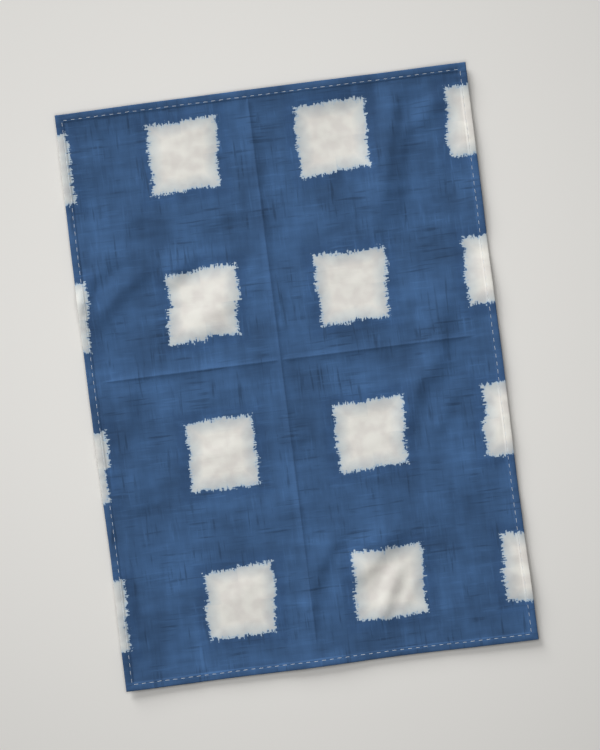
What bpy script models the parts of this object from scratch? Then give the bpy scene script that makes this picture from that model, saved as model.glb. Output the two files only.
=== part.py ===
"""An indigo shibori cloth, hemmed on all four sides, lying flat with its creases and soft folds.

Metres, +Z up. The cloth's length runs along Y and its width along X. The origin is on the surface
that the cloth lies on, under the middle of the cloth.
"""

from collections import namedtuple

import bmesh
import bpy
import numpy as np

# Driving dimensions
WIDTH = 0.500
LENGTH = 0.700
CLOTH_THICKNESS = 0.0010
HEM_THICKNESS = 0.0019
HEM_STEP = 0.0014
CORNER_ROUND = 0.0012
# Width of the turned hem on each side
Sides = namedtuple("Sides", "top right bottom left")
HEMS = Sides(0.0096, 0.0095, 0.0092, 0.0095)

# The hems keep the cloth's rim up, and it comes down to the surface over these distances from each side
HEM_CURL = 0.0040
CURL_REACH = Sides(0.040, 0.055, 0.060, 0.044)
# Power of the curl's profile: 1 rises straight, and more bends it up towards the edge
CURL_BEND = 1.4

# The curl grows and shrinks along the edges by this share of itself, over these lengths
CURL_SWAY = 0.12
SWAY_ACROSS = 0.230
SWAY_ALONG = 0.300
SWAY_TURN = 1.0

# Spacing of the sheet's grid, and of the lines that sharpen a pressed crease
CELL = 0.0112
CREASE_NEAR = 0.0030

# A rise smaller than this settles, so that the cloth lies flat between its folds
SETTLE = 0.0004
# Share of a fold's length over which each of its ends fades out
FADE = 0.30
CREST_STEPS = 40

INDIGO = (0.042, 0.097, 0.195, 1.0)
CLOTH_ROUGHNESS = 0.92

# Places on the cloth are (right, down) from its top left corner, seen from above.
# A fold's crest runs through three places. It slopes gently up and to the left, over the half
# width "gentle", and steeply down and to the right, over the half width "steep".
Fold = namedtuple("Fold", "start middle end gentle steep height")
FOLDS = (
    Fold((0.002, 0.250), (0.012, 0.216), (0.036, 0.188), 0.010, 0.010, 0.0042),
    Fold((0.022, 0.206), (0.052, 0.184), (0.112, 0.180), 0.016, 0.010, 0.0026),
    Fold((0.010, 0.272), (0.050, 0.223), (0.122, 0.182), 0.024, 0.010, 0.0044),
    Fold((0.088, 0.106), (0.060, 0.158), (0.028, 0.200), 0.020, 0.016, 0.0024),
    Fold((0.106, 0.228), (0.128, 0.203), (0.158, 0.186), 0.018, 0.010, 0.0040),
    Fold((0.116, 0.304), (0.158, 0.264), (0.212, 0.214), 0.026, 0.024, 0.0038),
    Fold((0.418, 0.004), (0.393, 0.090), (0.366, 0.212), 0.018, 0.010, 0.0054),
    Fold((0.428, 0.050), (0.403, 0.112), (0.389, 0.212), 0.034, 0.009, 0.0042),
    Fold((0.424, 0.068), (0.448, 0.052), (0.468, 0.022), 0.010, 0.014, 0.0030),
    Fold((0.442, 0.246), (0.426, 0.326), (0.404, 0.398), 0.018, 0.013, 0.0058),
    Fold((0.414, 0.350), (0.386, 0.394), (0.366, 0.462), 0.014, 0.010, 0.0042),
    Fold((0.446, 0.376), (0.423, 0.414), (0.400, 0.446), 0.018, 0.009, 0.0028),
    Fold((0.054, 0.328), (0.047, 0.362), (0.040, 0.402), 0.011, 0.010, 0.0032),
    Fold((0.052, 0.424), (0.047, 0.460), (0.044, 0.498), 0.011, 0.010, 0.0020),
    Fold((0.300, 0.534), (0.246, 0.586), (0.232, 0.676), 0.014, 0.010, 0.0038),
    Fold((0.280, 0.562), (0.272, 0.598), (0.266, 0.642), 0.009, 0.009, 0.0020),
    Fold((0.354, 0.532), (0.317, 0.576), (0.272, 0.611), 0.026, 0.014, 0.0058),
    Fold((0.350, 0.582), (0.329, 0.622), (0.312, 0.664), 0.011, 0.009, 0.0036),
)

# The creases that folding in four has pressed in, from edge to edge. "at" is the place to the right
# or down, and the height runs from the first edge, top or left, to the last. On it stands a narrow
# ridge, as high as "ridge".
RIDGE_REACH = 0.0030
Crease = namedtuple("Crease", "at gentle steep first_height last_height ridge")
UPRIGHT_CREASE = Crease(0.2342, 0.016, 0.016, 0.0028, 0.0018, 0.0016)
CROSS_CREASE = Crease(0.3273, 0.014, 0.014, 0.0014, 0.0014, 0.0014)

# Where each edge runs a little inside the straight line, centred on a place along that edge
Dip = namedtuple("Dip", "edge at reach depth")
DIPS = (
    Dip("top", 0.010, 0.080, 0.0015),
    Dip("bottom", 0.135, 0.045, 0.0006),
    Dip("bottom", 0.335, 0.080, 0.0014),
    Dip("left", 0.015, 0.110, 0.0017),
    Dip("left", 0.535, 0.070, 0.0013),
    Dip("right", 0.260, 0.120, 0.0007),
    Dip("right", 0.520, 0.100, 0.0014),
)


def clear_scene():
    """Remove what the scene holds."""
    for item in list(bpy.data.objects):
        bpy.data.objects.remove(item, do_unlink=True)


def smooth(share):
    """Ease a share from 0 to 1 in and out."""
    share = np.clip(share, 0.0, 1.0)
    return share * share * (3.0 - 2.0 * share)


def fold_height(right, down, fold):
    """Height that one soft fold gives each place on the cloth."""
    along = np.linspace(0.0, 1.0, CREST_STEPS)
    start, middle, end = (np.array(place) for place in (fold.start, fold.middle, fold.end))
    bend = 2.0 * middle - 0.5 * (start + end)
    crest = (
        np.outer((1.0 - along) ** 2, start)
        + np.outer(2.0 * along * (1.0 - along), bend)
        + np.outer(along**2, end)
    )
    away_right = right[..., None] - crest[:, 0]
    away_down = down[..., None] - crest[:, 1]
    distance = np.hypot(away_right, away_down)
    nearest = distance.argmin(axis=-1)[..., None]
    steep_side = np.take_along_axis(away_right + away_down, nearest, axis=-1)[..., 0] > 0.0
    distance = np.take_along_axis(distance, nearest, axis=-1)[..., 0]
    reach = np.where(steep_side, fold.steep, fold.gentle)
    share = along[nearest[..., 0]]
    fade = smooth(share / FADE) * smooth((1.0 - share) / FADE)
    return fold.height * fade * np.exp(-((distance / reach) ** 2))


def crease_height(across, along, span, crease):
    """Height that one pressed crease gives each place: a sharp ridge on a soft one."""
    offset = across - crease.at
    reach = np.where(offset > 0.0, crease.steep, crease.gentle)
    height = crease.first_height + (crease.last_height - crease.first_height) * along / span
    soft = height * np.exp(-np.abs(offset) / reach)
    return soft + crease.ridge * np.exp(-np.abs(offset) / RIDGE_REACH)


def inside_hem(right, down):
    """Whether each place lies in the turned hem."""
    beside = (right < HEMS.left) | (WIDTH - right < HEMS.right)
    return beside | (down < HEMS.top) | (LENGTH - down < HEMS.bottom)


def rim_shares(right, down):
    """How much each place belongs to the rim on each side: 1 on the edge, 0 in the flat middle."""
    inward = Sides(
        top=down / CURL_REACH.top,
        right=(WIDTH - right) / CURL_REACH.right,
        bottom=(LENGTH - down) / CURL_REACH.bottom,
        left=right / CURL_REACH.left,
    )
    return Sides(*((1.0 - np.minimum(place, 1.0)) ** CURL_BEND for place in inward))


def hem_curl(right, down):
    """Height that the curled hem gives each place, a little more here and less there."""
    share = np.maximum.reduce(rim_shares(right, down))
    across = np.sin(2.0 * np.pi * right / SWAY_ACROSS + SWAY_TURN)
    along = np.sin(2.0 * np.pi * down / SWAY_ALONG + SWAY_TURN)
    return HEM_CURL * share * (1.0 + CURL_SWAY * (across + along))


def cloth_lift(right, down):
    """How far the cloth's underside stands above what it lies on."""
    creases = np.maximum(
        crease_height(right, down, LENGTH, UPRIGHT_CREASE),
        crease_height(down, right, WIDTH, CROSS_CREASE),
    )
    folds = sum(fold_height(right, down, fold) for fold in FOLDS)
    return np.maximum(creases - SETTLE, hem_curl(right, down)) + np.maximum(folds - SETTLE, 0.0)


def edge_dip(edge, along):
    """How far one edge runs inside its straight line, at a place along it."""
    depth = np.zeros_like(along)
    for dip in DIPS:
        if dip.edge == edge:
            depth = depth + dip.depth * np.exp(-(((along - dip.at) / dip.reach) ** 2))
    return depth


def settle_outline(right, down):
    """Draw the rim in at the places where its edges run inside the straight line."""
    rim = rim_shares(right, down)
    moved_right = edge_dip("left", down) * rim.left - edge_dip("right", down) * rim.right
    moved_down = edge_dip("top", right) * rim.top - edge_dip("bottom", right) * rim.bottom
    return right + moved_right, down + moved_down


def grid_lines(span, crease_at, first_hem, last_hem, first_rim, last_rim):
    """Places of the grid's lines across one span, closer at the hems and at the pressed crease."""
    half_step = HEM_STEP / 2.0
    stops = (
        0.0,
        first_hem - half_step,
        first_hem + half_step,
        first_rim,
        crease_at - CREASE_NEAR,
        crease_at,
        crease_at + CREASE_NEAR,
        span - last_rim,
        span - last_hem - half_step,
        span - last_hem + half_step,
        span,
    )
    lines = [0.0]
    for low, high in zip(stops, stops[1:]):
        count = max(1, round((high - low) / CELL))
        lines.extend(low + (high - low) * step / count for step in range(1, count + 1))
    return np.array(lines)


def fabric(name, colour, roughness):
    """A cloth material of one colour."""
    material = bpy.data.materials.new(name)
    material.use_nodes = True
    shader = material.node_tree.nodes["Principled BSDF"]
    shader.inputs["Base Color"].default_value = colour
    shader.inputs["Roughness"].default_value = roughness
    shader.inputs["Metallic"].default_value = 0.0
    material.diffuse_color = colour
    return material


def sheet_mesh(name, right, down, lift):
    """The underside of the sheet, as a mesh of four-sided cells facing up."""
    sheet = bmesh.new()
    rows, columns = right.shape
    corners = [
        [
            sheet.verts.new(
                (
                    right[row, column] - WIDTH / 2.0,
                    LENGTH / 2.0 - down[row, column],
                    lift[row, column],
                )
            )
            for column in range(columns)
        ]
        for row in range(rows)
    ]
    for row in range(rows - 1):
        for column in range(columns - 1):
            sheet.faces.new(
                (
                    corners[row][column],
                    corners[row + 1][column],
                    corners[row + 1][column + 1],
                    corners[row][column + 1],
                )
            )
    mesh = bpy.data.meshes.new(name)
    sheet.to_mesh(mesh)
    sheet.free()
    return mesh


def round_corners(right, down):
    """Draw the four corner points in, as a turned hem leaves them."""
    for row, turn_down in ((0, 1.0), (-1, -1.0)):
        for column, turn_right in ((0, 1.0), (-1, -1.0)):
            right[row, column] += turn_right * CORNER_ROUND
            down[row, column] += turn_down * CORNER_ROUND


def make_cloth():
    """The cloth: one sheet, thicker where its hem is turned over."""
    rims = CURL_REACH
    columns = grid_lines(WIDTH, UPRIGHT_CREASE.at, HEMS.left, HEMS.right, rims.left, rims.right)
    rows = grid_lines(LENGTH, CROSS_CREASE.at, HEMS.top, HEMS.bottom, rims.top, rims.bottom)
    right, down = np.meshgrid(columns, rows)
    lift = cloth_lift(right, down)
    in_hem = inside_hem(right, down)
    right, down = settle_outline(right, down)
    round_corners(right, down)

    cloth = bpy.data.objects.new("cloth", sheet_mesh("cloth", right, down, lift))
    bpy.context.scene.collection.objects.link(cloth)
    cloth.data.materials.append(fabric("indigo_cotton", INDIGO, CLOTH_ROUGHNESS))
    cloth.data.shade_smooth()

    hem = cloth.vertex_groups.new(name="hem")
    hem.add(np.flatnonzero(in_hem.ravel()).tolist(), 1.0, "REPLACE")
    thicken = cloth.modifiers.new("thickness", "SOLIDIFY")
    thicken.thickness = HEM_THICKNESS
    thicken.offset = 1.0
    thicken.vertex_group = hem.name
    thicken.thickness_vertex_group = CLOTH_THICKNESS / HEM_THICKNESS
    return cloth


clear_scene()
make_cloth()
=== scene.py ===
"""The looks of an indigo shibori cloth: its dyed weave, turned hem, running stitches and stage."""

import math
from collections import namedtuple

import bpy
import numpy as np
from bpy.props import FloatProperty, FloatVectorProperty, PointerProperty
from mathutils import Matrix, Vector


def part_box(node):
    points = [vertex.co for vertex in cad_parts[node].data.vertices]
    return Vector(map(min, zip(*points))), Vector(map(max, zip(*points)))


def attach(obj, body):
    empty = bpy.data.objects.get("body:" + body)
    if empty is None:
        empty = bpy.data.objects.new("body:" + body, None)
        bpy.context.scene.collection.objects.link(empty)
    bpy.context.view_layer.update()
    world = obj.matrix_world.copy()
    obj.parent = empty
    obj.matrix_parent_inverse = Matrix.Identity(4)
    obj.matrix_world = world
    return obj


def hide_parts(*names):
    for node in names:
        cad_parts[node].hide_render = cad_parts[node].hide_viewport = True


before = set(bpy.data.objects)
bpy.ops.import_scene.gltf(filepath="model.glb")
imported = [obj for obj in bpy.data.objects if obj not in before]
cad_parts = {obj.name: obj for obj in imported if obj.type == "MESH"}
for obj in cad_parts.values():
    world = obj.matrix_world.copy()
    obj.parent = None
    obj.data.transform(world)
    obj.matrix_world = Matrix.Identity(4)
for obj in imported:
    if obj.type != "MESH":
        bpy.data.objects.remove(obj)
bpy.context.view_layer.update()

bl_info = {
    "name": "Shibori Cloth",
    "version": (1, 0, 0),
    "blender": (4, 5, 0),
    "location": "3D View > Sidebar > Shibori",
    "description": "Lays out a hemmed, resist-dyed indigo cloth with its stitching and a plain stage",
    "category": "Mesh",
}

CLOTH_LOW, CLOTH_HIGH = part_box("cloth")
CLOTH_WIDTH = round(CLOTH_HIGH.x - CLOTH_LOW.x, 3)
CLOTH_LENGTH = round(CLOTH_HIGH.y - CLOTH_LOW.y, 3)

# Places on the cloth are (right, down) from its top left corner, seen from above.
# A fold's crest runs through three places. It slopes gently up and to the left, over the half
# width "gentle", and steeply down and to the right, over the half width "steep".
Fold = namedtuple("Fold", "start middle end gentle steep height")
FOLDS = (
    Fold((0.002, 0.250), (0.012, 0.216), (0.036, 0.188), 0.010, 0.010, 0.0042),
    Fold((0.022, 0.206), (0.052, 0.184), (0.112, 0.180), 0.016, 0.010, 0.0026),
    Fold((0.010, 0.272), (0.050, 0.223), (0.122, 0.182), 0.024, 0.010, 0.0044),
    Fold((0.088, 0.106), (0.060, 0.158), (0.028, 0.200), 0.020, 0.016, 0.0024),
    Fold((0.106, 0.228), (0.128, 0.203), (0.158, 0.186), 0.018, 0.010, 0.0040),
    Fold((0.116, 0.304), (0.158, 0.264), (0.212, 0.214), 0.026, 0.024, 0.0038),
    Fold((0.418, 0.004), (0.393, 0.090), (0.366, 0.212), 0.018, 0.010, 0.0054),
    Fold((0.428, 0.050), (0.403, 0.112), (0.389, 0.212), 0.034, 0.009, 0.0042),
    Fold((0.424, 0.068), (0.448, 0.052), (0.468, 0.022), 0.010, 0.014, 0.0030),
    Fold((0.442, 0.246), (0.426, 0.326), (0.404, 0.398), 0.018, 0.013, 0.0058),
    Fold((0.414, 0.350), (0.386, 0.394), (0.366, 0.462), 0.014, 0.010, 0.0042),
    Fold((0.446, 0.376), (0.423, 0.414), (0.400, 0.446), 0.018, 0.009, 0.0028),
    Fold((0.054, 0.328), (0.047, 0.362), (0.040, 0.402), 0.011, 0.010, 0.0032),
    Fold((0.052, 0.424), (0.047, 0.460), (0.044, 0.498), 0.011, 0.010, 0.0020),
    Fold((0.300, 0.534), (0.246, 0.586), (0.232, 0.676), 0.014, 0.010, 0.0038),
    Fold((0.280, 0.562), (0.272, 0.598), (0.266, 0.642), 0.009, 0.009, 0.0020),
    Fold((0.354, 0.532), (0.317, 0.576), (0.272, 0.611), 0.026, 0.014, 0.0058),
    Fold((0.350, 0.582), (0.329, 0.622), (0.312, 0.664), 0.011, 0.009, 0.0036),
)

# Lesser folds, too small for the solid
SMALL_FOLDS = (
    Fold((0.372, 0.604), (0.354, 0.624), (0.338, 0.654), 0.007, 0.006, 0.0011),
    Fold((0.024, 0.586), (0.017, 0.604), (0.015, 0.628), 0.007, 0.006, 0.0010),
    Fold((0.150, 0.148), (0.176, 0.150), (0.206, 0.144), 0.012, 0.010, 0.0009),
    Fold((0.216, 0.418), (0.232, 0.424), (0.262, 0.420), 0.010, 0.006, 0.0010),
    Fold((0.300, 0.040), (0.322, 0.062), (0.352, 0.060), 0.011, 0.010, 0.0009),
    Fold((0.128, 0.410), (0.150, 0.432), (0.188, 0.404), 0.010, 0.009, 0.0010),
    Fold((0.304, 0.452), (0.330, 0.438), (0.366, 0.424), 0.012, 0.010, 0.0010),
    Fold((0.126, 0.628), (0.146, 0.604), (0.180, 0.590), 0.013, 0.011, 0.0009),
    Fold((0.318, 0.272), (0.334, 0.248), (0.360, 0.244), 0.010, 0.009, 0.0009),
    Fold((0.478, 0.060), (0.486, 0.090), (0.480, 0.112), 0.007, 0.007, 0.0010),
    Fold((0.482, 0.408), (0.488, 0.430), (0.482, 0.458), 0.007, 0.007, 0.0010),
    Fold((0.486, 0.584), (0.478, 0.612), (0.472, 0.644), 0.007, 0.007, 0.0010),
)

# The creases that folding in four has pressed in, from edge to edge. "at" is the place to the right
# or down, and the height runs from the first edge, top or left, to the last. On it stands a narrow
# ridge, as high as "ridge".
RIDGE_REACH = 0.0030
Crease = namedtuple("Crease", "at gentle steep first_height last_height ridge")
UPRIGHT_CREASE = Crease(0.2342, 0.016, 0.016, 0.0028, 0.0018, 0.0016)
CROSS_CREASE = Crease(0.3273, 0.014, 0.014, 0.0014, 0.0014, 0.0014)

# Where each edge runs a little inside the straight line, centred on a place along that edge
Dip = namedtuple("Dip", "edge at reach depth")
DIPS = (
    Dip("top", 0.010, 0.080, 0.0015),
    Dip("bottom", 0.135, 0.045, 0.0006),
    Dip("bottom", 0.335, 0.080, 0.0014),
    Dip("left", 0.015, 0.110, 0.0017),
    Dip("left", 0.535, 0.070, 0.0013),
    Dip("right", 0.260, 0.120, 0.0007),
    Dip("right", 0.520, 0.100, 0.0014),
)

# Cloth that stands lower than this settles on the surface
SETTLE = 0.0004

# A fold fades out over this share of its crest at each end, and this many points stand for the crest
FADE = 0.30
CREST_POINTS = 40

# Soft unevenness is a number of waves added up, with lengths between the shortest and the longest
Waves = namedtuple("Waves", "seed count shortest longest")
UNDULATION_WAVES = Waves(3, 40, 0.014, 0.060)
SWELL_WAVES = Waves(5, 24, 0.070, 0.170)
STRAY_WAVES = Waves(11, 8, 0.030, 0.090)
STRENGTH_WAVES = Waves(17, 8, 0.025, 0.070)

Sides = namedtuple("Sides", "top right bottom left")

# The hems keep the cloth's rim up, and it comes down to the surface over these distances
HEM_CURL = 0.0040
CURL_REACH = Sides(0.056, 0.090, 0.100, 0.064)

# The curl grows and shrinks along the edges by this share of itself, over these lengths
CURL_SWAY = 0.12
SWAY_ACROSS = 0.230
SWAY_ALONG = 0.300
SWAY_TURN = 1.0

# Width of the turned hem on each side, as shares of the hem's usual width
HEM_SHARES = Sides(1.01, 1.00, 0.97, 1.00)

# The cells of the sheet's grid, and its extra lines: at these shares of the hem's width in from the
# outline, and at these distances from a pressed crease
CELL = 0.0036
HEM_LINES = (0.18, 0.40, 0.58, 0.68, 0.74, 0.79, 0.83, 0.87, 0.92, 1.00, 1.06, 1.18, 1.38)
CREASE_LINES = (0.0008, 0.0018, 0.0034, 0.0058)

# The hem's two hidden layers have lines at these shares of its width, and at these angles in degrees
# round its two folds
GROOVE_LINES = (0.72, 0.83, 0.93)
UNDER_LINES = (0.45, *GROOVE_LINES, 1.00)
TUCKED_LINES = (*reversed(GROOVE_LINES), 0.60, 0.22)
OUTER_FOLD_TURNS = (45.0, 0.0, -45.0, -90.0)
INNER_FOLD_TURNS = (-30.0, 30.0, 90.0)
PLY_GAP = 0.00005

# The face drops from the hem to the single cloth over this share of the hem's width
HEM_EASE = 0.11

# The outer fold rolls down over this distance. The stitches lie in a groove, this far out from the
# hem's inner fold and this wide to each side
ROLL_REACH = 0.0032
STITCH_INSET = 0.0016
GROOVE_REACH = 0.0009

# The gathers stray along the hem by this share of a stitch, their strength changes about its usual
# share, and they rise and fade over these distances in from the edge
PUCKER_STRAY = 0.35
PUCKER_SHARE = 0.60
PUCKER_CHANGE = 0.40
PUCKER_RISE = 0.004
PUCKER_FULL = 0.008
PUCKER_FADE = 0.012

# A stitch is a short flattened tube of this many sides and rings. Its ends taper to a tip and dive
# into the cloth, and stitches differ a little in length, lean and place.
STITCH_SEED = 29
STITCH_SIDES = 8
STITCH_RINGS = 9
STITCH_TIP = 0.08
STITCH_RISE = 0.12
STITCH_DIVE = 0.75
STITCH_LENGTHS = (0.90, 1.08)
STITCH_LEAN = 0.035
STITCH_SLIP = 0.00012

# The dye creeps along bundles of threads, each with its reach as a share of the usual creep, and
# further in short lengths
CREEP_BUNDLES = ((2.0, 0.6), (5.0, 0.6))
CREEP_CHANGES = 190.0
BUNDLE_STEP = 7.31
SHORT_THREADS = 1.7
SHORT_LENGTH = 0.007
SHORT_REACH = 0.36
CROSSING_SHARE = 0.35

# A square's sides wander in broad and in fine waves, and its quarters slip apart at random too
BROAD_WANDER = 30.0
FINE_WANDER = 110.0
FINE_SHARE = 0.55
QUARTER_SHARE = 2.7

# How often each kind of streak changes in one metre, along and across the threads
SLUB_CHANGES = (18.0, 230.0)
PALE_SLUB_CHANGES = (26.0, 260.0)
LINEN_CHANGES = (30.0, 1100.0)
BAND_CHANGES = (11.0, 90.0)

# How often the soft unevenness changes in one metre: patches of slubs, mottled dye, greyed white
PATCH_CHANGES = 24.0
MOTTLE_CHANGES = 17.0
LUMP_CHANGES = 62.0

# The noise between the first two numbers becomes a share from 0 to 1
SLUB_RANGE = (0.54, 0.70)
PATCH_RANGE = (0.42, 0.62)
LUMP_RANGE = (0.34, 0.70)

# The darkest and the lightest that each unevenness makes the dye
MOTTLE_TONES = (0.75, 1.21)
LINEN_TONES = (0.95, 1.05)
BAND_TONES = (0.87, 1.13)

# Distances outside a square's side, negative within it: where the dye starts, the bleed and the
# haze inside the rim, and the band in which the dye has gathered
DYE_STARTS = (-0.0003, 0.0004)
BLEED = (-0.0030, 0.0)
BLEED_SHARE = 0.85
HAZE = (-0.0180, -0.0010)
GATHERED_RISES = (0.0, 0.0030)
GATHERED_FADES = (0.0080, 0.0180)
GATHERED_SHARE = 0.45

# Colours as shares of the indigo or of the undyed cloth
SLUB_SHADE = 0.68
PALE_SLUB_TINT = 1.25
PALE_SLUB_SHARE = 0.6
GREYED_SHADES = (0.90, 0.88, 0.89)

# The weave's relief: depth of the bump, and the shares that the weave and the slubs have in it
RELIEF_DEPTH = 0.0001
RELIEF_STRENGTH = 0.5
WEAVE_SHARE = 0.5
SLUB_SHARE = 0.8

# The twist of the sewing thread, as changes in one metre and as tones
TWIST_CHANGES = 900.0
TWIST_TONES = (0.85, 1.08)

# The floor is a square this far across from its middle, and lies just under the cloth
FLOOR_HALF = 4.0
FLOOR_DROP = 0.0003

# The broad key light stands far off beyond the cloth's top left, and the overhead light just above
KEY_PLACE = (-3.25, 6.12, 2.88)
KEY_SIZE = 3.5
OVERHEAD_PLACE = (-0.03, 0.00, 1.00)
OVERHEAD_SIZE = 0.7

# The camera looks straight down, and the long side of its frame covers this length of the floor
CAMERA_TURN = math.radians(-7.25)
CAMERA_HEIGHT = 2.5
CAMERA_SHIFT = (0.0051, 0.0017)
FRAME_LONG_SIDE = 0.9040
SENSOR = 36.0


class ClothSizes(bpy.types.PropertyGroup):
    """Sizes of the woven cloth and its hem."""

    width: FloatProperty(
        name="Width",
        description="Width of the hemmed cloth",
        default=CLOTH_WIDTH,
        unit="LENGTH",
    )
    length: FloatProperty(
        name="Length",
        description="Length of the hemmed cloth",
        default=CLOTH_LENGTH,
        unit="LENGTH",
    )
    ply: FloatProperty(
        name="Thickness",
        description="Thickness of one layer of cloth",
        default=0.0005,
        unit="LENGTH",
    )
    hem: FloatProperty(
        name="Hem",
        description="Usual width of the hem, which is turned under twice",
        default=0.0095,
        unit="LENGTH",
    )
    undulation: FloatProperty(
        name="Undulation",
        description="Height of the small, soft unevenness between the folds",
        default=0.00026,
        unit="LENGTH",
    )
    swell: FloatProperty(
        name="Swell",
        description="Height of the broad unevenness between the folds",
        default=0.00090,
        unit="LENGTH",
    )
    roll: FloatProperty(
        name="Roll",
        description="How far the hem's outer fold rolls down",
        default=0.0006,
        unit="LENGTH",
    )
    groove: FloatProperty(
        name="Groove",
        description="How deep the stitching draws the hem in",
        default=0.00035,
        unit="LENGTH",
    )
    pucker: FloatProperty(
        name="Pucker",
        description="Height of the small gathers that the stitching draws up beside the hem",
        default=0.00022,
        unit="LENGTH",
    )
    thread_pitch: FloatProperty(
        name="Thread pitch",
        description="Distance between neighbouring threads of the weave",
        default=0.0008,
        unit="LENGTH",
    )


class DyeLook(bpy.types.PropertyGroup):
    """Sizes and colours of the resist-dyed pattern."""

    square: FloatProperty(
        name="Square",
        description="Side of an undyed square",
        default=0.0838,
        unit="LENGTH",
    )
    pitch: FloatProperty(
        name="Pitch",
        description="Distance between the centres of neighbouring squares",
        default=0.1803,
        unit="LENGTH",
    )
    first_right: FloatProperty(
        name="First column",
        description="Place of the first full column's centre, from the left edge",
        default=0.1501,
        unit="LENGTH",
    )
    first_down: FloatProperty(
        name="First row",
        description="Place of the first row's centre, from the top edge",
        default=0.0692,
        unit="LENGTH",
    )
    slip: FloatProperty(
        name="Slip",
        description="How far the quarters of a square, each on its own fold, have slipped apart",
        default=0.0012,
        unit="LENGTH",
    )
    wobble: FloatProperty(
        name="Wobble",
        description="How far the dye's edge wanders from a straight line",
        default=0.0085,
        unit="LENGTH",
    )
    creep: FloatProperty(
        name="Creep",
        description="How far the dye creeps along single threads",
        default=0.0100,
        unit="LENGTH",
    )
    indigo: FloatVectorProperty(
        name="Indigo",
        description="Colour of the dyed ground",
        subtype="COLOR",
        size=3,
        default=(0.0400, 0.0960, 0.2100),
    )
    deep_indigo: FloatVectorProperty(
        name="Deep indigo",
        description="Colour where the dye has gathered beside the squares and in slubs",
        subtype="COLOR",
        size=3,
        default=(0.0290, 0.0740, 0.1750),
    )
    pale_blue: FloatVectorProperty(
        name="Pale blue",
        description="Colour of the dye's thin bleed inside the rim of a square",
        subtype="COLOR",
        size=3,
        default=(0.3300, 0.4500, 0.5800),
    )
    haze: FloatVectorProperty(
        name="Haze",
        description="Tint of the broad, faint stain inside the rim of a square",
        subtype="COLOR",
        size=3,
        default=(0.6600, 0.7400, 0.8200),
    )
    undyed: FloatVectorProperty(
        name="Undyed",
        description="Colour of the cloth that the resist kept white",
        subtype="COLOR",
        size=3,
        default=(0.7500, 0.7380, 0.6880),
    )


class StitchSizes(bpy.types.PropertyGroup):
    """Sizes and colour of the hem's running stitches."""

    pitch: FloatProperty(
        name="Pitch",
        description="Distance from one stitch to the next",
        default=0.0095,
        unit="LENGTH",
    )
    length: FloatProperty(
        name="Length",
        description="Length of a stitch on the face",
        default=0.0060,
        unit="LENGTH",
    )
    width: FloatProperty(
        name="Width",
        description="Width of the sewing thread as it lies",
        default=0.00042,
        unit="LENGTH",
    )
    height: FloatProperty(
        name="Height",
        description="Height of the sewing thread as it lies",
        default=0.0005,
        unit="LENGTH",
    )
    thread: FloatVectorProperty(
        name="Thread",
        description="Colour of the sewing thread",
        subtype="COLOR",
        size=3,
        default=(0.7200, 0.7700, 0.8200),
    )


class StageLook(bpy.types.PropertyGroup):
    """Floor colour and strengths of the lights."""

    floor: FloatVectorProperty(
        name="Floor",
        description="Colour of the floor",
        subtype="COLOR",
        size=3,
        default=(0.758, 0.746, 0.717),
    )
    key: FloatProperty(
        name="Key",
        description="Power of the soft key light",
        default=582.0,
        unit="POWER",
    )
    sky: FloatProperty(
        name="Sky",
        description="Strength of the even light from all round",
        default=0.188,
    )
    overhead: FloatProperty(
        name="Overhead",
        description="Power of the broad light above the cloth",
        default=4.88,
        unit="POWER",
    )


def smooth(share):
    """Ease a share from 0 to 1 in and out."""
    share = np.clip(share, 0.0, 1.0)
    return share * share * (3.0 - 2.0 * share)


def fold_height(right, down, fold):
    """Height that one soft fold gives each place on the cloth."""
    along = np.linspace(0.0, 1.0, CREST_POINTS)
    start, middle, end = (np.array(place) for place in (fold.start, fold.middle, fold.end))
    bend = 2.0 * middle - 0.5 * (start + end)
    crest = (
        np.outer((1.0 - along) ** 2, start)
        + np.outer(2.0 * along * (1.0 - along), bend)
        + np.outer(along**2, end)
    )
    away_right = right[..., None] - crest[:, 0]
    away_down = down[..., None] - crest[:, 1]
    distance = np.hypot(away_right, away_down)
    nearest = distance.argmin(axis=-1)[..., None]
    steep_side = np.take_along_axis(away_right + away_down, nearest, axis=-1)[..., 0] > 0.0
    distance = np.take_along_axis(distance, nearest, axis=-1)[..., 0]
    reach = np.where(steep_side, fold.steep, fold.gentle)
    share = along[nearest[..., 0]]
    fade = smooth(share / FADE) * smooth((1.0 - share) / FADE)
    return fold.height * fade * np.exp(-((distance / reach) ** 2))


def crease_height(across, along, span, crease):
    """Height that one pressed crease gives each place: a peak with a sharp top."""
    offset = across - crease.at
    reach = np.where(offset > 0.0, crease.steep, crease.gentle)
    height = crease.first_height + (crease.last_height - crease.first_height) * along / span
    soft = height * np.exp(-np.abs(offset) / reach)
    return soft + crease.ridge * np.exp(-np.abs(offset) / RIDGE_REACH)


def waves(right, down, kind):
    """Even, soft unevenness between about -1 and 1: waves of many directions and lengths."""
    draw = np.random.default_rng(kind.seed)
    total = np.zeros_like(right)
    for _ in range(kind.count):
        heading = draw.uniform(0.0, math.pi)
        length = draw.uniform(kind.shortest, kind.longest)
        start = draw.uniform(0.0, 2.0 * math.pi)
        turn = (right * math.cos(heading) + down * math.sin(heading)) * 2.0 * math.pi / length
        total = total + np.sin(turn + start)
    return total / math.sqrt(kind.count)


def from_edge(right, down, sizes):
    """Distance of each place from the nearest edge of the cloth."""
    return np.minimum(
        np.minimum(right, sizes.width - right),
        np.minimum(down, sizes.length - down),
    )


def rim_shares(right, down, sizes):
    """How much each place belongs to the rim on each side: 1 on the edge, 0 in the flat middle."""
    inward = Sides(
        top=down / CURL_REACH.top,
        right=(sizes.width - right) / CURL_REACH.right,
        bottom=(sizes.length - down) / CURL_REACH.bottom,
        left=right / CURL_REACH.left,
    )
    return Sides(*((1.0 - np.minimum(place, 1.0)) ** 2 for place in inward))


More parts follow.
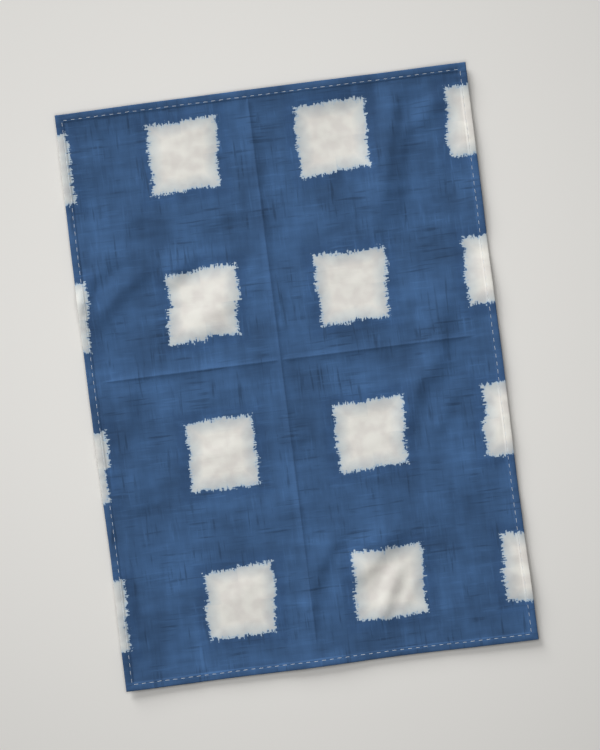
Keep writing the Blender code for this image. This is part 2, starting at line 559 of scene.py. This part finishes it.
def hem_curl(right, down, sizes):
    """Height that the curled hem gives each place, a little more here and less there."""
    share = np.maximum.reduce(rim_shares(right, down, sizes))
    across = np.sin(2.0 * math.pi * right / SWAY_ACROSS + SWAY_TURN)
    along = np.sin(2.0 * math.pi * down / SWAY_ALONG + SWAY_TURN)
    return HEM_CURL * share * (1.0 + CURL_SWAY * (across + along))


def cloth_rise(right, down, sizes):
    """How far the cloth stands above the surface at each place."""
    creases = np.maximum(
        crease_height(right, down, sizes.length, UPRIGHT_CREASE),
        crease_height(down, right, sizes.width, CROSS_CREASE),
    )
    folds = sum(fold_height(right, down, fold) for fold in FOLDS + SMALL_FOLDS)
    rise = np.maximum(creases, hem_curl(right, down, sizes) + SETTLE) + folds
    rise = rise + sizes.undulation * waves(right, down, UNDULATION_WAVES)
    rise = rise + sizes.swell * (1.0 + waves(right, down, SWELL_WAVES))
    return SETTLE * np.logaddexp(0.0, (rise - SETTLE) / SETTLE)


def hem_widths(sizes):
    """Width of the hem on each side."""
    return Sides(*(share * sizes.hem for share in HEM_SHARES))


def hem_place(right, down, sizes):
    """How far in each place lies, from 0 at the outline to 1 at the hem's inner fold and on."""
    hems = hem_widths(sizes)
    return np.minimum(
        np.minimum(right / hems.left, (sizes.width - right) / hems.right),
        np.minimum(down / hems.top, (sizes.length - down) / hems.bottom),
    )


def puckers(right, down, sizes, pitch):
    """The small gathers that run in from the hem, about one for each stitch."""
    inset = from_edge(right, down, sizes)
    upright_edge = np.minimum(right, sizes.width - right) < np.minimum(down, sizes.length - down)
    along = np.where(upright_edge, down, right)
    stray = PUCKER_STRAY * pitch * waves(right, down, STRAY_WAVES)
    gathers = np.cos(2.0 * math.pi * (along + stray) / pitch)
    strength = PUCKER_SHARE + PUCKER_CHANGE * waves(right, down, STRENGTH_WAVES)
    faded = smooth((inset - PUCKER_FULL) / PUCKER_FADE)
    return sizes.pucker * gathers * strength * smooth(inset / PUCKER_RISE) * (1.0 - faded)


def edge_dip(edge, along):
    """How far one edge runs inside its straight line, at a place along it."""
    depth = np.zeros_like(along)
    for dip in DIPS:
        if dip.edge == edge:
            depth = depth + dip.depth * np.exp(-(((along - dip.at) / dip.reach) ** 2))
    return depth


def settle_outline(right, down, sizes):
    """Draw the rim in at the places where its edges run inside the straight line."""
    rim = rim_shares(right, down, sizes)
    moved_right = edge_dip("left", down) * rim.left - edge_dip("right", down) * rim.right
    moved_down = edge_dip("top", right) * rim.top - edge_dip("bottom", right) * rim.bottom
    return right + moved_right, down + moved_down


def to_world(right, down, height, sizes):
    """Points of the row's frame from places on the cloth."""
    right, down = settle_outline(right, down, sizes)
    return np.stack((right - sizes.width / 2.0, sizes.length / 2.0 - down, height), axis=-1)


def hem_levels(sizes):
    """Heights of the middle of the three layers of the hem: under, tucked and face."""
    step = sizes.ply + PLY_GAP
    under = sizes.ply / 2.0
    return under, under + step, under + 2.0 * step


def layer_lift(right, down, sizes, stitches):
    """How far every layer is lifted: by folds and gathers, less the rolled edge and the groove."""
    rise = cloth_rise(right, down, sizes) + puckers(right, down, sizes, stitches.pitch)
    roll = sizes.roll * (1.0 - smooth(from_edge(right, down, sizes) / ROLL_REACH))
    stitched = hem_place(right, down, sizes) - 1.0 + STITCH_INSET / sizes.hem
    groove = sizes.groove * np.exp(-((stitched * sizes.hem / GROOVE_REACH) ** 2))
    return np.maximum(rise, 0.0) - roll - groove


def face_height(right, down, sizes, stitches):
    """Height of the middle of the face layer, which the hem's layers carry."""
    under, _, face = hem_levels(sizes)
    place = hem_place(right, down, sizes)
    carried = (face - under) * (1.0 - smooth((place - 1.0) / HEM_EASE + 0.5))
    return under + carried + layer_lift(right, down, sizes, stitches)


def grid_lines(span, crease_at, edge, first_hem, last_hem):
    """Places of the grid's lines across one span, closer at the hems and at the pressed crease."""
    stops = [edge]
    stops += [first_hem * share for share in HEM_LINES]
    stops += [crease_at - place for place in reversed(CREASE_LINES)]
    stops += [crease_at]
    stops += [crease_at + place for place in CREASE_LINES]
    stops += [span - last_hem * share for share in reversed(HEM_LINES)]
    stops += [span - edge]
    lines = [stops[0]]
    for low, high in zip(stops, stops[1:]):
        count = max(1, round((high - low) / CELL))
        lines.extend(low + (high - low) * step / count for step in range(1, count + 1))
    return np.array(lines)


def turned_profile(sizes):
    """The hem's turned layers, from the outer fold to the raw edge.

    Each row is how far in from the outline it lies, as a share of the hem's width and a distance,
    then its height, and how far it is along the cloth beyond the outline.
    """
    under, tucked, face = hem_levels(sizes)
    outer = (face - under) / 2.0
    inner = (tucked - under) / 2.0
    outer_centre = outer + sizes.ply / 2.0
    inner_back = inner + sizes.ply / 2.0
    rows = []
    for angle in OUTER_FOLD_TURNS:
        turn = math.radians(angle)
        rows.append(
            (
                0.0,
                outer_centre - outer * math.cos(turn),
                under + outer + outer * math.sin(turn),
            )
        )
    rows += [(share, -share * inner_back, under) for share in UNDER_LINES]
    for angle in INNER_FOLD_TURNS:
        turn = math.radians(angle)
        rows.append(
            (
                1.0,
                inner * math.cos(turn) - inner_back,
                under + inner + inner * math.sin(turn),
            )
        )
    rows += [(share, -share * inner_back, tucked) for share in TUCKED_LINES]
    profile = []
    beyond = 0.0
    last = (outer_centre, face)
    for share, offset, height in rows:
        inset = share * sizes.hem + offset
        beyond += math.hypot(inset - last[0], height - last[1])
        profile.append((share, offset, height, beyond - outer_centre))
        last = (inset, height)
    return profile


def boundary(rows, columns):
    """Row and column of each point round the edge of a grid, clockwise from the top left."""
    top = [(0, column) for column in range(columns - 1)]
    right = [(row, columns - 1) for row in range(rows - 1)]
    bottom = [(rows - 1, column) for column in range(columns - 1, 0, -1)]
    left = [(row, 0) for row in range(rows - 1, 0, -1)]
    return np.array(top + right + bottom + left)


def scaled_ring(right, down, inner, sizes, insets):
    """The places of an outline at one distance in, moved to other distances in from each side."""
    across = (right - inner) / (sizes.width - 2.0 * inner)
    along = (down - inner) / (sizes.length - 2.0 * inner)
    new_right = insets.left + across * (sizes.width - insets.left - insets.right)
    new_down = insets.top + along * (sizes.length - insets.top - insets.bottom)
    return new_right, new_down


def new_object(name, data):
    """An object for a mesh, a light or a camera, in the scene."""
    made = bpy.data.objects.new(name, data)
    bpy.context.scene.collection.objects.link(made)
    return made


def build_cloth(sizes, stitches):
    """The cut cloth as one sheet: its face, and its hem turned under twice."""
    under, _, face = hem_levels(sizes)
    edge = (face - under) / 2.0 + sizes.ply / 2.0
    hems = hem_widths(sizes)
    columns = grid_lines(sizes.width, UPRIGHT_CREASE.at, edge, hems.left, hems.right)
    rows = grid_lines(sizes.length, CROSS_CREASE.at, edge, hems.top, hems.bottom)
    right, down = np.meshgrid(columns, rows)
    height = face_height(right, down, sizes, stitches)
    points = [to_world(right, down, height, sizes).reshape(-1, 3)]
    places = [np.stack((right, down), axis=-1).reshape(-1, 2)]

    index = np.arange(right.size).reshape(right.shape)
    cells = np.stack((index[:-1, :-1], index[1:, :-1], index[1:, 1:], index[:-1, 1:]), axis=-1)
    faces = [cells.reshape(-1, 4)]

    ring = tuple(boundary(*right.shape).T)
    ring_right = right[ring]
    ring_down = down[ring]
    last = index[ring]
    made = right.size
    for share, offset, level, beyond in turned_profile(sizes):
        insets = Sides(*(share * hem + offset for hem in hems))
        new_right, new_down = scaled_ring(ring_right, ring_down, edge, sizes, insets)
        outsets = Sides(-beyond, -beyond, -beyond, -beyond)
        cut_right, cut_down = scaled_ring(ring_right, ring_down, edge, sizes, outsets)
        lift = layer_lift(new_right, new_down, sizes, stitches)
        points.append(to_world(new_right, new_down, level + lift, sizes))
        places.append(np.stack((cut_right, cut_down), axis=-1))
        now = made + np.arange(len(last))
        made += len(last)
        faces.append(np.stack((last, np.roll(last, -1), np.roll(now, -1), now), axis=-1))
        last = now

    mesh = bpy.data.meshes.new("shibori_cloth")
    mesh.from_pydata(np.concatenate(points).tolist(), [], np.concatenate(faces).tolist())
    lay_places(mesh, np.concatenate(places))
    mesh.shade_smooth()
    cloth = new_object("shibori_cloth", mesh)
    thicken = cloth.modifiers.new("thickness", "SOLIDIFY")
    thicken.thickness = sizes.ply
    thicken.offset = 0.0
    return cloth


def lay_places(mesh, places):
    """Keep each point's place on the cut cloth, in metres: the map that the dye and weave follow."""
    layer = mesh.uv_layers.new(name="cut")
    corners = np.empty(len(mesh.loops), dtype=np.int32)
    mesh.loops.foreach_get("vertex_index", corners)
    layer.data.foreach_set("uv", places[corners].astype(np.float32).ravel())


class Graph:
    """A short way to write a material's nodes."""

    def __init__(self, name):
        self.material = bpy.data.materials.new(name)
        self.material.use_nodes = True
        self.tree = self.material.node_tree
        self.shader = self.tree.nodes["Principled BSDF"]

    def add(self, kind, **settings):
        """A new node with its settings."""
        node = self.tree.nodes.new(kind)
        for key, value in settings.items():
            setattr(node, key, value)
        return node

    def plug(self, value, socket):
        """Join a socket to another, or set it to a value."""
        if isinstance(value, bpy.types.NodeSocket):
            self.tree.links.new(value, socket)
        else:
            socket.default_value = value

    def math(self, operation, *values):
        """One sum on numbers."""
        node = self.add("ShaderNodeMath", operation=operation)
        for value, socket in zip(values, node.inputs):
            self.plug(value, socket)
        return node.outputs[0]

    def place(self, right, down, third):
        """A vector from three numbers."""
        node = self.add("ShaderNodeCombineXYZ")
        for value, socket in zip((right, down, third), node.inputs):
            self.plug(value, socket)
        return node.outputs[0]

    def noise(self, vector, scale, detail=2.0, roughness=0.5):
        """Soft noise: its value and its colour."""
        node = self.add("ShaderNodeTexNoise", noise_dimensions="3D")
        self.plug(vector, node.inputs["Vector"])
        node.inputs["Scale"].default_value = scale
        node.inputs["Detail"].default_value = detail
        node.inputs["Roughness"].default_value = roughness
        return node.outputs["Fac"], node.outputs["Color"]

    def random(self, vector):
        """A number from 0 to 1 that jumps from cell to cell."""
        node = self.add("ShaderNodeTexWhiteNoise", noise_dimensions="3D")
        self.plug(vector, node.inputs["Vector"])
        return node.outputs["Value"]

    def remap(self, value, low, high, out_low=0.0, out_high=1.0, ease="SMOOTHSTEP"):
        """Carry one range of numbers to another."""
        node = self.add("ShaderNodeMapRange", interpolation_type=ease)
        for number, socket in zip((value, low, high, out_low, out_high), node.inputs):
            self.plug(number, socket)
        return node.outputs["Result"]

    def mix(self, share, first, second, blend="MIX"):
        """One colour over another."""
        node = self.add("ShaderNodeMix", data_type="RGBA", blend_type=blend)
        self.plug(share, node.inputs["Factor"])
        self.plug(first, node.inputs[6])
        self.plug(second, node.inputs[7])
        return node.outputs[2]


def opaque(colour):
    """A colour with its alpha."""
    return (*colour, 1.0)


def thread_creep(graph, along, across, key, dye, sizes):
    """How far the dye has crept along the threads that run one way.

    It changes slowly along a thread and jumps to the next, and some short lengths stand out.
    """
    thread = graph.math("FLOOR", graph.math("DIVIDE", across, sizes.thread_pitch * SHORT_THREADS))
    length = graph.math("FLOOR", graph.math("DIVIDE", along, SHORT_LENGTH))
    draw = graph.random(graph.place(thread, length, key + 0.5))
    total = graph.math("MULTIPLY", graph.math("SUBTRACT", draw, 0.5), dye.creep * SHORT_REACH)
    for threads, reach in CREEP_BUNDLES:
        thread = graph.math("FLOOR", graph.math("DIVIDE", across, sizes.thread_pitch * threads))
        value, _ = graph.noise(
            graph.place(
                graph.math("MULTIPLY", along, CREEP_CHANGES),
                graph.math("MULTIPLY", thread, BUNDLE_STEP),
                key + threads,
            ),
            1.0,
            detail=1.0,
        )
        centred = graph.math("SUBTRACT", value, 0.5)
        total = graph.math("ADD", graph.math("MULTIPLY", centred, dye.creep * reach), total)
    return total


def dye_edge(graph, right, down, dye, sizes):
    """Distance outside the nearest square's side: as the dye has crept, and as it wanders alone."""
    _, broad_colour = graph.noise(graph.place(right, down, 4.7), BROAD_WANDER, detail=1.5)
    _, fine_colour = graph.noise(graph.place(right, down, 9.1), FINE_WANDER, detail=2.0)
    cells = []
    offsets = []
    for across, first in ((right, dye.first_right), (down, dye.first_down)):
        cell = graph.math("DIVIDE", graph.math("SUBTRACT", across, first), dye.pitch)
        cells.append(graph.math("FLOOR", graph.math("MULTIPLY", cell, 2.0)))
        turn = graph.math("ADD", cell, 0.5)
        offsets.append(graph.math("SUBTRACT", graph.math("FRACT", turn), 0.5))
    slip = graph.math("MULTIPLY", graph.math("SIGN", graph.math("MULTIPLY", *offsets)), dye.slip)

    creeps = (
        thread_creep(graph, right, down, 3.0, dye, sizes),
        thread_creep(graph, down, right, 8.0, dye, sizes),
    )
    crept = []
    wandered = []
    for channel in range(2):
        distance = graph.math("MULTIPLY", graph.math("ABSOLUTE", offsets[channel]), dye.pitch)
        distance = graph.math("SUBTRACT", distance, dye.square / 2.0)
        draw = graph.random(graph.place(*cells, channel + 0.5))
        draw = graph.math("SUBTRACT", draw, 0.5)
        quarter = graph.math("MULTIPLY", draw, dye.slip * QUARTER_SHARE)
        distance = graph.math("ADD", distance, graph.math("ADD", slip, quarter))
        for colour, reach in ((broad_colour, dye.wobble), (fine_colour, dye.wobble * FINE_SHARE)):
            split = graph.add("ShaderNodeSeparateColor")
            graph.plug(colour, split.inputs[0])
            centred = graph.math("SUBTRACT", split.outputs[channel], 0.5)
            distance = graph.math("ADD", distance, graph.math("MULTIPLY", centred, reach))
        wandered.append(distance)
        distance = graph.math("ADD", distance, creeps[channel])
        crossing = graph.math("MULTIPLY", creeps[1 - channel], CROSSING_SHARE)
        crept.append(graph.math("ADD", distance, crossing))
    return graph.math("MAXIMUM", *crept), graph.math("MAXIMUM", *wandered)


def streaks(graph, right, down, run, lie):
    """Soft noise drawn out along the threads.

    "run" is how often it changes in each direction, and "lie" sets it apart from other noise.
    """
    value, _ = graph.noise(
        graph.place(
            graph.math("MULTIPLY", right, run[0]),
            graph.math("MULTIPLY", down, run[1]),
            lie,
        ),
        1.0,
        detail=1.5,
        roughness=0.6,
    )
    return value


def both_ways(graph, pattern, right, down, changes, lies):
    """One pattern along the upright threads and along the lying ones."""
    along, across = changes
    upright = pattern(graph, right, down, (across, along), lies[0])
    lying = pattern(graph, right, down, (along, across), lies[1])
    return upright, lying


def slubs(graph, right, down, run, lie):
    """Streaks along single threads, gathered in patches, as shares from 0 to 1."""
    patches, _ = graph.noise(graph.place(right, down, lie), PATCH_CHANGES, detail=2.0)
    sharp = graph.remap(streaks(graph, right, down, run, lie + 3.0), *SLUB_RANGE)
    return graph.math("MULTIPLY", sharp, graph.remap(patches, *PATCH_RANGE))


def dyed_ground(graph, right, down, edge, deep_slubs, dye):
    """The indigo ground: darker beside the squares, with dark and pale slubs and uneven dye."""
    gathered = graph.math(
        "MULTIPLY",
        graph.remap(edge, *GATHERED_RISES),
        graph.remap(edge, *GATHERED_FADES, 1.0, 0.0),
    )
    gathered = graph.math("MULTIPLY", gathered, GATHERED_SHARE)
    ground = graph.mix(gathered, opaque(dye.indigo), opaque(dye.deep_indigo))

    slub_colour = tuple(channel * SLUB_SHADE for channel in dye.indigo)
    ground = graph.mix(graph.math("MAXIMUM", *deep_slubs), ground, opaque(slub_colour))
    pale_slubs = both_ways(graph, slubs, right, down, PALE_SLUB_CHANGES, (45.0, 57.0))
    pale = graph.math("MULTIPLY", graph.math("MAXIMUM", *pale_slubs), PALE_SLUB_SHARE)
    lighter = tuple(channel * PALE_SLUB_TINT for channel in dye.indigo)
    ground = graph.mix(pale, ground, opaque(lighter))

    mottle, _ = graph.noise(
        graph.place(right, down, 1.3), MOTTLE_CHANGES, detail=3.0, roughness=0.55
    )
    linen = graph.math("ADD", *both_ways(graph, streaks, right, down, LINEN_CHANGES, (71.0, 83.0)))
    bands = graph.math("ADD", *both_ways(graph, streaks, right, down, BAND_CHANGES, (91.0, 97.0)))
    tone = graph.remap(mottle, 0.3, 0.7, *MOTTLE_TONES, "LINEAR")
    tone = graph.math("MULTIPLY", tone, graph.remap(linen, 0.7, 1.3, *LINEN_TONES, "LINEAR"))
    tone = graph.math("MULTIPLY", tone, graph.remap(bands, 0.7, 1.3, *BAND_TONES, "LINEAR"))
    return graph.mix(1.0, ground, graph.place(tone, tone, tone), "MULTIPLY")


def undyed_white(graph, right, down, edge, plain_edge, dye):
    """The undyed cloth in the squares: softly greyed, stained and bled into from its rim."""
    lump, _ = graph.noise(graph.place(right, down, 6.2), LUMP_CHANGES, detail=1.5)
    greyed = tuple(channel * share for channel, share in zip(dye.undyed, GREYED_SHADES))
    white = graph.mix(graph.remap(lump, *LUMP_RANGE), opaque(dye.undyed), opaque(greyed))
    haze = graph.remap(plain_edge, *HAZE, 0.0, 1.0, "LINEAR")
    white = graph.mix(haze, white, opaque(dye.haze), "MULTIPLY")
    return graph.mix(graph.remap(edge, *BLEED, 0.0, BLEED_SHARE), white, opaque(dye.pale_blue))


def weave_relief(graph, right, down, deep_slubs, thread_pitch):
    """The fine relief of the plain weave, with the slubs standing up in it."""
    turn = math.pi / thread_pitch
    weave = graph.math(
        "MULTIPLY",
        graph.math("SINE", graph.math("MULTIPLY", right, turn)),
        graph.math("SINE", graph.math("MULTIPLY", down, turn)),
    )
    raised = graph.math("MULTIPLY", graph.math("ADD", *deep_slubs), SLUB_SHARE)
    bump = graph.add("ShaderNodeBump")
    bump.inputs["Strength"].default_value = RELIEF_STRENGTH
    bump.inputs["Distance"].default_value = RELIEF_DEPTH
    relief = graph.math("ADD", graph.math("MULTIPLY", weave, WEAVE_SHARE), raised)
    graph.plug(relief, bump.inputs["Height"])
    return bump.outputs[0]


def dyed_cloth(dye, sizes):
    """The cloth's material: indigo ground, undyed squares, slubs and weave."""
    graph = Graph("dyed_cloth")
    where = graph.add("ShaderNodeUVMap", uv_map="cut")
    split = graph.add("ShaderNodeSeparateXYZ")
    graph.plug(where.outputs["UV"], split.inputs[0])
    right, down, _ = split.outputs

    edge, plain_edge = dye_edge(graph, right, down, dye, sizes)
    deep_slubs = both_ways(graph, slubs, right, down, SLUB_CHANGES, (21.0, 33.0))
    ground = dyed_ground(graph, right, down, edge, deep_slubs, dye)
    white = undyed_white(graph, right, down, edge, plain_edge, dye)
    colour = graph.mix(graph.remap(edge, *DYE_STARTS), white, ground)
    graph.plug(colour, graph.shader.inputs["Base Color"])
    relief = weave_relief(graph, right, down, deep_slubs, sizes.thread_pitch)
    graph.plug(relief, graph.shader.inputs["Normal"])

    graph.shader.inputs["Roughness"].default_value = 0.92
    graph.shader.inputs["Specular IOR Level"].default_value = 0.2
    graph.shader.inputs["Sheen Weight"].default_value = 0.08
    graph.shader.inputs["Sheen Roughness"].default_value = 0.5
    return graph.material


def stitch_path(sizes, stitches):
    """Place and heading of every stitch round the hem, clockwise from the top left."""
    hems = hem_widths(sizes)
    left = hems.left - STITCH_INSET
    top = hems.top - STITCH_INSET
    right = sizes.width - hems.right + STITCH_INSET
    bottom = sizes.length - hems.bottom + STITCH_INSET
    corners = ((left, top), (right, top), (right, bottom), (left, bottom))
    for number, corner in enumerate(corners):
        onward = corners[(number + 1) % len(corners)]
        run = math.dist(corner, onward)
        heading = ((onward[0] - corner[0]) / run, (onward[1] - corner[1]) / run)
        count = round(run / stitches.pitch)
        for stitch in range(count):
            middle = (stitch + 0.5) * run / count
            yield (corner[0] + heading[0] * middle, corner[1] + heading[1] * middle), heading


def build_stitches(sizes, stitches):
    """The running stitches: flattened thread that dives into the cloth at both ends."""
    draw = np.random.default_rng(STITCH_SEED)
    along = np.linspace(-1.0, 1.0, STITCH_RINGS)
    body = np.sqrt(np.clip(1.0 - np.abs(along) ** 6, 0.0, 1.0))
    swell = STITCH_TIP + (1.0 - STITCH_TIP) * body
    around = np.arange(STITCH_SIDES) * 2.0 * math.pi / STITCH_SIDES
    points = []
    faces = []
    for (right, down), heading in stitch_path(sizes, stitches):
        run = along * stitches.length / 2.0 * draw.uniform(*STITCH_LENGTHS)
        lean = draw.normal(0.0, STITCH_LEAN)
        slip = draw.normal(0.0, STITCH_SLIP)
        across = (-heading[1], heading[0])
        side = run * lean + slip
        centre_right = right + heading[0] * run + across[0] * side
        centre_down = down + heading[1] * run + across[1] * side
        top = face_height(centre_right, centre_down, sizes, stitches) + sizes.ply / 2.0
        sink = stitches.height * (STITCH_RISE - STITCH_DIVE * np.abs(along) ** 4)
        centre = to_world(centre_right, centre_down, top + sink, sizes)
        flank = np.array((across[0], -across[1], 0.0))
        ring = centre[:, None, :] + swell[:, None, None] * (
            flank * (stitches.width / 2.0) * np.cos(around)[None, :, None]
            + np.array((0.0, 0.0, stitches.height / 2.0)) * np.sin(around)[None, :, None]
        )
        first = len(points) * STITCH_SIDES * STITCH_RINGS
        last = first + STITCH_SIDES * (STITCH_RINGS - 1)
        points.append(ring.reshape(-1, 3))
        for low in range(first, last, STITCH_SIDES):
            for side_number in range(STITCH_SIDES):
                here = low + side_number
                after = low + (side_number + 1) % STITCH_SIDES
                faces.append((here, after, after + STITCH_SIDES, here + STITCH_SIDES))
        faces.append(tuple(first + side_number for side_number in reversed(range(STITCH_SIDES))))
        faces.append(tuple(last + side_number for side_number in range(STITCH_SIDES)))
    mesh = bpy.data.meshes.new("hem_stitches")
    mesh.from_pydata(np.concatenate(points).tolist(), [], faces)
    mesh.shade_smooth()
    return new_object("hem_stitches", mesh)


def sewing_thread(stitches):
    """The stitches' material: twisted cotton thread."""
    graph = Graph("sewing_thread")
    where = graph.add("ShaderNodeTexCoord")
    grain, _ = graph.noise(where.outputs["Object"], TWIST_CHANGES, detail=2.0)
    tone = graph.remap(grain, 0.3, 0.7, *TWIST_TONES, "LINEAR")
    colour = graph.mix(1.0, opaque(stitches.thread), graph.place(tone, tone, tone), "MULTIPLY")
    graph.plug(colour, graph.shader.inputs["Base Color"])
    graph.shader.inputs["Roughness"].default_value = 0.7
    return graph.material


def floor_paper(stage):
    """The floor's material: plain, pale and matt."""
    graph = Graph("floor")
    graph.shader.inputs["Base Color"].default_value = opaque(stage.floor)
    graph.shader.inputs["Roughness"].default_value = 0.9
    graph.shader.inputs["Specular IOR Level"].default_value = 0.1
    return graph.material


def aim(item, target):
    """Turn an object's -Z towards a place."""
    item.rotation_euler = (Vector(target) - item.location).to_track_quat("-Z", "Y").to_euler()


def soft_light(name, size, power, place):
    """A square area light that points at the middle of the cloth."""
    data = bpy.data.lights.new(name, "AREA")
    data.shape = "SQUARE"
    data.size = size
    data.energy = power
    light = new_object(name, data)
    light.location = place
    aim(light, (0.0, 0.0, 0.0))


class SHIBORI_OT_set_stage(bpy.types.Operator):
    """Make the floor, the lights and the camera"""

    bl_idname = "shibori.set_stage"
    bl_label = "Set Stage"

    def execute(self, context):
        stage = context.scene.shibori_stage
        mesh = bpy.data.meshes.new("floor")
        corners = [
            (across * FLOOR_HALF, along * FLOOR_HALF, -FLOOR_DROP)
            for across, along in ((-1, -1), (1, -1), (1, 1), (-1, 1))
        ]
        mesh.from_pydata(corners, [], [(0, 1, 2, 3)])
        floor = new_object("floor", mesh)
        mesh.materials.append(floor_paper(stage))

        soft_light("key", KEY_SIZE, stage.key, KEY_PLACE)
        soft_light("overhead", OVERHEAD_SIZE, stage.overhead, OVERHEAD_PLACE)

        world = bpy.data.worlds.new("studio")
        world.use_nodes = True
        sky = world.node_tree.nodes["Background"]
        sky.inputs["Color"].default_value = opaque((1.0, 1.0, 1.0))
        sky.inputs["Strength"].default_value = stage.sky
        context.scene.world = world

        camera_data = bpy.data.cameras.new("camera")
        camera_data.sensor_width = SENSOR
        camera_data.lens = SENSOR * CAMERA_HEIGHT / FRAME_LONG_SIDE
        camera = new_object("camera", camera_data)
        camera.location = (*CAMERA_SHIFT, CAMERA_HEIGHT)
        camera.rotation_euler = (0.0, 0.0, CAMERA_TURN)
        context.scene.camera = camera
        context.scene.view_settings.view_transform = "Standard"
        return {"FINISHED"}


class SHIBORI_OT_lay_cloth(bpy.types.Operator):
    """Lay out the dyed cloth with its hem, folds and creases"""

    bl_idname = "shibori.lay_cloth"
    bl_label = "Lay Cloth"

    def execute(self, context):
        sizes = context.scene.shibori_sizes
        cloth = build_cloth(sizes, context.scene.shibori_stitches)
        cloth.data.materials.append(dyed_cloth(context.scene.shibori_dye, sizes))
        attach(cloth, "root")
        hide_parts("cloth")
        return {"FINISHED"}


class SHIBORI_OT_sew_hem(bpy.types.Operator):
    """Sew the running stitches round the hem"""

    bl_idname = "shibori.sew_hem"
    bl_label = "Sew Hem"

    def execute(self, context):
        sizes = context.scene.shibori_sizes
        stitches = context.scene.shibori_stitches
        cloth = bpy.data.objects.get("shibori_cloth")
        if cloth is None:
            raise RuntimeError("The cloth is laid out before its hem is sewn.")
        thread = build_stitches(sizes, stitches)
        thread.data.materials.append(sewing_thread(stitches))
        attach(thread, "root")
        return {"FINISHED"}


class SHIBORI_PT_panel(bpy.types.Panel):
    """Lists the cloth's steps and settings"""

    bl_label = "Shibori Cloth"
    bl_idname = "SHIBORI_PT_panel"
    bl_space_type = "VIEW_3D"
    bl_region_type = "UI"
    bl_category = "Shibori"

    def draw(self, context):
        for step in OPERATORS:
            self.layout.operator(step.bl_idname)
        for name, group in SETTINGS:
            box = self.layout.box()
            for setting in group.__annotations__:
                box.prop(getattr(context.scene, name), setting)


OPERATORS = (SHIBORI_OT_set_stage, SHIBORI_OT_lay_cloth, SHIBORI_OT_sew_hem)
SETTINGS = (
    ("shibori_sizes", ClothSizes),
    ("shibori_dye", DyeLook),
    ("shibori_stitches", StitchSizes),
    ("shibori_stage", StageLook),
)


def register():
    """Add the settings, operators and panel."""
    for name, group in SETTINGS:
        bpy.utils.register_class(group)
        setattr(bpy.types.Scene, name, PointerProperty(type=group))
    for item in (*OPERATORS, SHIBORI_PT_panel):
        bpy.utils.register_class(item)


def unregister():
    """Take the settings, operators and panel away."""
    for item in reversed((*OPERATORS, SHIBORI_PT_panel)):
        bpy.utils.unregister_class(item)
    for name, group in reversed(SETTINGS):
        delattr(bpy.types.Scene, name)
        bpy.utils.unregister_class(group)


def main():
    """Run every step in order."""
    register()
    bpy.ops.shibori.set_stage()
    bpy.ops.shibori.lay_cloth()
    bpy.ops.shibori.sew_hem()


if __name__ == "__main__":
    main()
